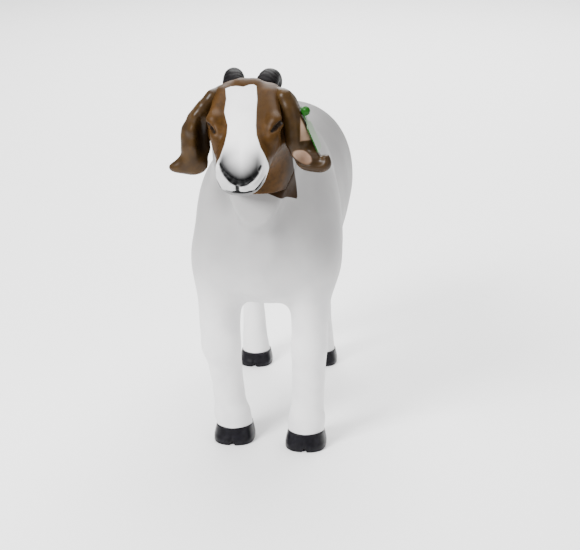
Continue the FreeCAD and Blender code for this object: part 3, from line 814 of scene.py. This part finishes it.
def model_ear(side):
    """One ear: a folded leaf that hangs from the head and flares out at its tip."""
    first, second = ear_place(side, 26, -378, 512), ear_place(side, 146, -290, 694)
    low, high = np.minimum(first, second), np.maximum(first, second)
    clay = Clay(low, high, 1.3)
    for beads in (LEFT_EAR if side == LEFT else RIGHT_EAR):
        add_string(clay, side, beads, 11)
    everywhere = (low, high)
    if side == LEFT:
        clay.add(pebble(ear_place(side, 105, -336, 560), (29, 17, 21)), *everywhere, 8)
        clay.add(pebble(ear_place(side, 121, -338, 552), (15, 12, 12)), *everywhere, 9)
        clay.add(pebble(ear_place(side, 104, -323, 578), (12, 10, 8)), *everywhere, 9)
        clay.carve(pebble(ear_place(side, 91, -358, 564), (17, 19, 13.5)), *everywhere, 6)
        clay.carve(pebble(ear_place(side, 114, -359, 563), (16, 17, 11)), *everywhere, 8)
        clay.carve(swing_space, *everywhere, 4)
        clay.carve(button_space, *everywhere, 1.5)
        start, end = TAG_PLACE - TAG_OUT * 14, TAG_PLACE + TAG_OUT * 10
        clay.carve(capsule(start, end, 2.8, 2.8), *around([start, end], 12), 0.6)
    else:
        clay.add(pebble(ear_place(side, 96, -336, 547), (27, 15, 19)), *everywhere, 8)
        clay.add(pebble(ear_place(side, 121, -338, 541), (14, 9, 9)), *everywhere, 10)
        clay.carve(pebble(ear_place(side, 77, -352, 596), (7, 16, 32)), *everywhere, 10)
    return clay


def ear_skin():
    """Satin brown paint, with a pale pinkish painted highlight in the cup of the left ear and near-black
    painted shade in the creases.
    """
    made, tree, shader, places = new_material("painted_ear", 0.36, 0.08)
    inside = add_node(tree, "ShaderNodeAttribute", attribute_name="inside").outputs["Fac"]
    fold_shade = add_node(tree, "ShaderNodeAttribute", attribute_name="fold_shade").outputs["Fac"]
    cloud = noise(tree, places, 30.0)
    brown = mix(tree, ramp(tree, cloud, 0.35, 0.65), linear("#3c2a12"), linear("#2e2010"))
    pale = mix(tree, ramp(tree, cloud, 0.3, 0.7), linear("#a08672"), linear("#866b58"))
    # painted highlight: pale pinkish where the left ear's cup and outer face catch the light
    colour = mix(tree, inside, brown, pale)
    # painted shade: near black in the hollows of the ears
    colour = mix(tree, fold_shade, colour, linear("#0d0805"))
    tree.links.new(colour, shader.inputs["Base Color"])
    return made


def near(points, centre, radii):
    """1 at the centre of an ellipsoid, falling softly to 0 at its surface."""
    away = np.sqrt((((points - np.array(centre)) / np.array(radii)) ** 2).sum(axis=1))
    return np.clip(1.6 * (1 - away), 0, 1)


def cup_highlight(points):
    """The painted highlights in the cup of the left ear: a slanting petal and a narrow triangle over it."""
    out, up = points[:, 0] - EAR_MIDDLE, points[:, 2]
    along = 0.85 * (out - 89) - 0.53 * (up - 566)
    across = 0.53 * (out - 89) + 0.85 * (up - 566)
    petal = 11 * (1 - np.hypot(along / 18, across / 11))
    triangle = np.min([out - 85, up - 592, 0.5 * (634 - up) + 85 - out], axis=0)
    front = -330 - points[:, 1]
    return np.clip(np.minimum(np.maximum(petal, triangle), front) / 2, 0, 1)


EAR_PAINT = ear_skin()
for side in (LEFT, RIGHT):
    points, faces = model_ear(side).mesh()
    points = settle(points, faces, 9)
    ear = make_mesh(f"ear_skin_{SIDE_NAMES[side]}", points, faces)
    if side == LEFT:
        # painted highlight in the cup
        inside = cup_highlight(points)
        # painted shade in the hollow under the flared tip
        fold_shade = near(points, ear_place(side, 113, -328, 582), (13, 16, 9))
    else:
        inside = np.zeros(len(points))
        # painted shade in the pocket between the ear and the cheek
        fold_shade = near(points, ear_place(side, 76, -336, 586), (16, 30, 46))
    set_attribute(ear, "inside", inside)
    set_attribute(ear, "fold_shade", 0.8 * fold_shade)
    finish_piece(ear, EAR_PAINT, [f"ear_{SIDE_NAMES[side]}"], "figure")


# --- horns ---

HORN_MIDDLE = -17.0
# metres from the root over which the rings rise to their full height
SMOOTH_ROOT = 0.03
# distance out, y, z, radius
HORN = [
    (23, -290, 640, 23.0),
    (24, -288, 656, 21.6),
    (27, -280, 671, 19.2),
    (30, -262, 679, 16.8),
    (33, -240, 677, 13.4),
    (37, -220, 669, 9.4),
    (40, -204, 658, 4.4),
    (41, -199, 654, 1.6),
]


def sockets(kind, tree, rows):
    made = {}
    for name, socket_type in rows:
        made[name] = tree.interface.new_socket(name, in_out=kind, socket_type=socket_type).identifier
    return made


def math_node(tree, operation, *values):
    """A number worked out from the values or sockets given."""
    return add_node(tree, "ShaderNodeMath", dict(enumerate(values)), operation=operation).outputs[0]


def float_attribute(tree, name):
    """The number that each point of the geometry carries under a name."""
    return add_node(tree, "GeometryNodeInputNamedAttribute", {"Name": name}, data_type="FLOAT").outputs[0]


def horn_tree():
    """Nodes that skin an axis with a round tube and raise growth rings along it."""
    tree = bpy.data.node_groups.new("growth_rings", "GeometryNodeTree")
    names = sockets("INPUT", tree, [
        ("Axis", "NodeSocketGeometry"), ("Ring spacing", "NodeSocketFloat"),
        ("Ring height", "NodeSocketFloat"), ("Unevenness", "NodeSocketFloat"),
        ("Seed", "NodeSocketInt"), ("Paint", "NodeSocketMaterial"),
    ])
    sockets("OUTPUT", tree, [("Horn", "NodeSocketGeometry")])
    given = add_node(tree, "NodeGroupInput").outputs
    thickness = float_attribute(tree, "thickness")
    curve = add_node(tree, "GeometryNodeMeshToCurve", {"Mesh": given["Axis"]}).outputs[0]
    circle = add_node(tree, "GeometryNodeCurvePrimitiveCircle", {"Resolution": 56, "Radius": 1.0}).outputs[0]
    tube = add_node(
        tree, "GeometryNodeCurveToMesh",
        {"Curve": curve, "Profile Curve": circle, "Scale": thickness, "Fill Caps": True},
    ).outputs[0]
    travel = float_attribute(tree, "travel")
    place = add_node(tree, "GeometryNodeInputPosition").outputs[0]
    drift = add_node(
        tree, "ShaderNodeTexNoise", {"Vector": place, "W": given["Seed"], "Scale": 60.0},
        noise_dimensions="4D",
    ).outputs[0]
    sway = math_node(tree, "MULTIPLY", drift, given["Unevenness"])
    turn = math_node(tree, "ADD", math_node(tree, "DIVIDE", travel, given["Ring spacing"]), sway)
    wave = math_node(tree, "SINE", math_node(tree, "MULTIPLY", turn, 2 * math.pi))
    ring = math_node(tree, "MULTIPLY", math_node(tree, "ABSOLUTE", wave), given["Ring height"])
    start = math_node(tree, "MINIMUM", math_node(tree, "DIVIDE", travel, SMOOTH_ROOT), 1.0)
    lift = math_node(tree, "MULTIPLY", ring, start)
    out = add_node(tree, "GeometryNodeInputNormal").outputs[0]
    push = add_node(tree, "ShaderNodeVectorMath", {0: out, "Scale": lift}, operation="SCALE").outputs[0]
    moved = add_node(tree, "GeometryNodeSetPosition", {"Geometry": tube, "Offset": push}).outputs[0]
    real = add_node(tree, "GeometryNodeRealizeInstances", {"Geometry": moved}).outputs[0]
    done = add_node(tree, "GeometryNodeSetMaterial", {"Geometry": real, "Material": given["Paint"]})
    add_node(tree, "NodeGroupOutput", {"Horn": done.outputs[0]})
    return tree, names


def grown(name, points, numbers, tree, values):
    """A mesh made by running a node tree on a line of points, given in millimetres."""
    line = bpy.data.meshes.new(name + "_axis")
    places = (np.asarray(points) + SHIFT) * MM
    line.from_pydata(places.tolist(), [(k, k + 1) for k in range(len(places) - 1)], [])
    for key, column in numbers.items():
        line.attributes.new(key, "FLOAT", "POINT").data.foreach_set("value", np.asarray(column, np.float32))
    source = bpy.data.objects.new(name, line)
    bpy.context.scene.collection.objects.link(source)
    modifier = source.modifiers.new("nodes", "NODES")
    modifier.node_group = tree
    for identifier, value in values.items():
        modifier[identifier] = value
    source.update_tag()
    bpy.context.view_layer.update()
    evaluated = source.evaluated_get(bpy.context.evaluated_depsgraph_get())
    plain_mesh = bpy.data.meshes.new_from_object(evaluated)
    source.modifiers.clear()
    source.data = plain_mesh
    bpy.data.meshes.remove(line)
    plain_mesh.polygons.foreach_set("use_smooth", [True] * len(plain_mesh.polygons))
    return source


def horn_axis(side):
    """Points along a horn's axis with its thickness and the distance travelled, in metres."""
    table = np.array(HORN, float)
    at = np.arange(len(table))
    fine = np.linspace(0, len(table) - 1, 200)
    rows = np.column_stack([smooth_column(at, table[:, k], fine) for k in range(4)])
    centres = np.column_stack([HORN_MIDDLE + side * rows[:, 0], rows[:, 1], rows[:, 2]])
    travel = np.concatenate([[0], np.cumsum(np.linalg.norm(np.diff(centres, axis=0), axis=1))])
    return centres, rows[:, 3] * MM, travel * MM


def horn_skin():
    """Satin charcoal paint, a little lighter and warmer in small patches."""
    made, tree, shader, places = new_material("charcoal_horn_paint", 0.5, 0.0, 0.06)
    fine = noise(tree, places, 6.0)
    colour = mix(tree, ramp(tree, fine, 0.35, 0.75), linear("#0b0a0b"), linear("#161315"))
    tree.links.new(colour, shader.inputs["Base Color"])
    return made


HORN_PAINT = horn_skin()
RINGS, RING_INPUTS = horn_tree()
for side in (LEFT, RIGHT):
    centres, thickness, travel = horn_axis(side)
    numbers = {"thickness": thickness, "travel": travel}
    horn = grown(f"horn_skin_{SIDE_NAMES[side]}", centres, numbers, RINGS, {
        RING_INPUTS["Ring spacing"]: 0.012,
        RING_INPUTS["Ring height"]: 0.00045,
        RING_INPUTS["Unevenness"]: 1.2,
        RING_INPUTS["Seed"]: 4 + side,
        RING_INPUTS["Paint"]: HORN_PAINT,
    })
    outward(horn)
    finish_piece(horn, HORN_PAINT, [f"horn_{SIDE_NAMES[side]}"], "figure")


# --- hooves ---

# level, offset across, offset back, half width, rise, drop and taper
HOOF = [
    (-6, 0, -1, 36.0, 37.0, 40.5, 0),
    (0, 0, -1, 37.0, 38.0, 41.5, 0),
    (8, 0, -1, 37.2, 38.5, 41.0, 0),
    (18, 0, 0, 35.6, 36.5, 38.5, 0),
    (27, 0, 0, 33.4, 35.0, 36.0, 0),
    (31, 0, 0, 32.4, 34.0, 35.0, 0),
]
HOOF_STEP = 1.3


def hoof_shape(clay, x, y, scale):
    """One blunt hoof with a shallow groove down the toe and a notch at the ground, flat underneath."""
    rows = [tuple(v * scale for v in row) for row in HOOF]
    everywhere = ((-300, -600, -100), (300, 600, 100))
    clay.add(limb((x, y, 0), Z, X, Y, rows, 2.6), *everywhere, 2.0)
    clay.carve(capsule((x, y - 43 * scale, -2), (x, y - 38 * scale, 40), 2.4, 1.4), *everywhere, 2.0)
    clay.carve(pebble((x, y - 42 * scale, 0), (4, 7, 7)), *everywhere, 2.5)
    clay.carve(lambda px, py, pz: (pz + 0 * px + 0 * py), *everywhere, 1.0)


def hoof_skin():
    """Satin black hoof paint with faint brush marks."""
    made, tree, shader, places = new_material("black_hoof_paint", 0.34, 0.1)
    fine = noise(tree, places, 9.0)
    colour = mix(tree, ramp(tree, fine, 0.35, 0.75), linear("#0d0c10"), linear("#17161b"))
    tree.links.new(colour, shader.inputs["Base Color"])
    return made


HOOF_PAINT = hoof_skin()
for word, table, scale in (("fore", FORELEG, 1.0), ("hind", HINDLEG, 0.90)):
    for side in (LEFT, RIGHT):
        row = table[side][-2]
        x, y = side * row[1], row[2]
        clay = Clay((x - 42, y - 50, -3), (x + 42, y + 46, 36), HOOF_STEP)
        hoof_shape(clay, x, y, scale)
        points, faces = clay.mesh()
        points = settle(points, faces, 1)
        hoof = make_mesh(f"hoof_skin_{word}_{SIDE_NAMES[side]}", points, faces)
        finish_piece(hoof, HOOF_PAINT, [f"hoof_{word}_{SIDE_NAMES[side]}"], "figure")


# --- tail ---

# y, z, half width, half thickness
TAIL = [
    (256, 519, 15, 12), (279, 517, 17, 11), (295, 506, 16, 10), (302, 486, 15, 8), (303, 466, 12, 6),
    (301, 452, 7, 4.5),
]
tail_clay = Clay((-34, 236, 430), (34, 326, 566), 1.6)
for before, after in zip(TAIL, TAIL[1:]):
    for out in (-1, -0.4, 0.4, 1):
        start = (out * (before[2] - before[3] * 0.7), before[0], before[1])
        end = (out * (after[2] - after[3] * 0.7), after[0], after[1])
        tail_clay.add_stick(start, end, before[3] * 0.8, after[3] * 0.8, 40, 6)
tail_points, tail_faces = tail_clay.mesh()
tail = make_mesh("tail_skin", settle(tail_points, tail_faces, 1), tail_faces)
set_attribute(tail, "brown", np.full(len(tail_points), -9.0))
set_attribute(tail, "nose", np.zeros(len(tail_points)))
# painted shade as on the trunk
set_attribute(tail, "shade", body_shade(tail_points))
finish_piece(tail, SHELL, ["tail"], "figure")


# --- ear tag ---

PANEL_HALF_WIDTH, PANEL_CORNER, PANEL_MIDDLE, PANEL_HALF_HEIGHT = 28, 8, -45, 24
PANEL_LEVEL, PANEL_HALF_THICKNESS = 7.3, 0.9


def rounded_box(x, y, middle, half_width, half_height, corner):
    """A rectangle with round corners, centred on x = 0."""
    past_x = np.maximum(np.abs(x) - (half_width - corner), 0)
    past_y = np.maximum(np.abs(y - middle) - (half_height - corner), 0)
    return np.hypot(past_x, past_y) - corner


def model_flag():
    """The panel with rounded shoulders and corners, its thicker neck and the domed socket."""
    clay = Clay((-34, -76, 2.5), (34, 16, 22), 0.75)
    everywhere = ((-60, -100, -10), (60, 60, 40))

    def panel(x, y, z):
        sheet = rounded_box(x, y, PANEL_MIDDLE, PANEL_HALF_WIDTH, PANEL_HALF_HEIGHT, PANEL_CORNER)
        shoulder = rounded_box(x, y, -9, 9.5, 18.5, 6.5)
        return np.maximum(smooth_min(sheet, shoulder, 9), np.abs(z - PANEL_LEVEL) - PANEL_HALF_THICKNESS)

    clay.add(panel, *everywhere, 0.6)

    def collar(x, y, z):
        off = np.hypot(x, y)
        return np.maximum(off - (8.3 - 0.12 * (z - 8)), np.abs(z - 11.5) - 4.4)

    clay.add(collar, *everywhere, 1.5)
    clay.add(pebble((0, 0, 13.5), (7.4, 7.4, 6.0)), *everywhere, 1.5)
    return clay


def tag_plastic():
    """Flexible polyurethane: saturated green, with a paler, greyer painted reflection over the panel's face.
    """
    made, tree, shader, places = new_material("green_polyurethane", 0.3, 0.1)
    panel = add_node(tree, "ShaderNodeAttribute", attribute_name="panel").outputs["Fac"]
    cloud = noise(tree, places, 14.0)
    deep = mix(tree, cloud, linear("#0e4008"), linear("#17540e"))
    # painted reflection: the pale grey-green that the panel's face shows
    pale = mix(tree, cloud, linear("#54684f"), linear("#647a5d"))
    tree.links.new(mix(tree, panel, deep, pale), shader.inputs["Base Color"])
    return made


TAG = tag_plastic()
flag_points, flag_faces = model_flag().mesh()
local = settle(flag_points, flag_faces, 1, 0.3)
across = np.cross(TAG_UP, TAG_OUT)
placed = TAG_PLACE + local[:, :1] * across + local[:, 1:2] * TAG_UP + local[:, 2:] * TAG_OUT
flag = make_mesh("flag_skin", placed, flag_faces)
# where the panel's face carries the painted reflection
low_part = np.clip((-10 - local[:, 1]) / 4, 0, 1)
inner_panel = np.clip((27 - np.abs(local[:, 0])) / 1.0, 0, 1) * np.clip((local[:, 1] + 68.2) / 1.0, 0, 1)
set_attribute(flag, "panel", low_part * inner_panel)
finish_piece(flag, TAG, ["tag_flag"], "flag")


# --- CAD nodes that keep their shape ---


def steel_primer():
    """Grey zinc primer on the hidden frame, mottled where it was brushed thin."""
    made, tree, shader, places = new_material("primed_steel", 0.55, 0.0)
    cloud = noise(tree, places, 20.0)
    tree.links.new(mix(tree, cloud, linear("#515153"), linear("#6b6b6c")), shader.inputs["Base Color"])
    return made


def eye_glass():
    """Dark brown glass with a wet highlight."""
    made, tree, shader, places = new_material("glass_eye", 0.12, 0.0)
    cloud = noise(tree, places, 6.0)
    tree.links.new(mix(tree, cloud, linear("#0d0906"), linear("#1d120a")), shader.inputs["Base Color"])
    return made


STEEL, EYE = steel_primer(), eye_glass()
PAINT_FOR = {"rod_": STEEL, "front_": STEEL, "rear_": STEEL, "spine_": STEEL, "tag_stud": TAG, "eye_": EYE}
for name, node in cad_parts.items():
    for start, paint in PAINT_FOR.items():
        if name.startswith(start):
            node.data.materials.clear()
            node.data.materials.append(paint)


# --- stage, light and camera ---


def add_light(name, place, target, size, watts):
    """A square area light turned towards a point."""
    lamp = bpy.data.lights.new(name, "AREA")
    lamp.size, lamp.energy = size, watts
    made = bpy.data.objects.new(name, lamp)
    made.location = place
    made.rotation_euler = (Vector(target) - Vector(place)).to_track_quat("-Z", "Y").to_euler()
    bpy.context.scene.collection.objects.link(made)


floor_mesh = bpy.data.meshes.new("floor")
floor_mesh.from_pydata([(-6, -6, 0), (6, -6, 0), (6, 9, 0), (-6, 9, 0)], [], [(0, 1, 2, 3)])
floor = bpy.data.objects.new("floor", floor_mesh)
bpy.context.scene.collection.objects.link(floor)
floor_paint, _, floor_shader, _ = new_material("studio_floor", 0.9)
floor_shader.inputs["Base Color"].default_value = linear("#fbfbfb")
floor.data.materials.append(floor_paint)

world = bpy.data.worlds.new("studio")
world.use_nodes = True
background = world.node_tree.nodes["Background"]
background.inputs[0].default_value = (1, 1, 1, 1)
background.inputs[1].default_value = 0.5
bpy.context.scene.world = world
middle = (0.0, 0.0, 0.4)
add_light("key", (-1.7, -2.3, 2.5), middle, 1.2, 230)
add_light("fill", (2.4, -1.8, 1.4), middle, 2.0, 20)
add_light("top", (0.2, 0.6, 3.2), middle, 2.6, 130)
add_light("back", (0.0, 4.2, 3.2), (0.0, 3.4, 0.0), 4.0, 420)

# millimetres for the lens, metres and radians for the place and turn
CAMERA_LENS = 98.69
CAMERA_PLACE = (0.3412, -2.7924, 1.170)
CAMERA_TURN = (math.pi / 2 - 0.3075, 0, 0.110)
camera_data = bpy.data.cameras.new("camera")
camera_data.sensor_width = 36.0
camera_data.lens = CAMERA_LENS
camera = bpy.data.objects.new("camera", camera_data)
camera.location = CAMERA_PLACE
camera.rotation_euler = CAMERA_TURN
bpy.context.scene.collection.objects.link(camera)
bpy.context.scene.camera = camera
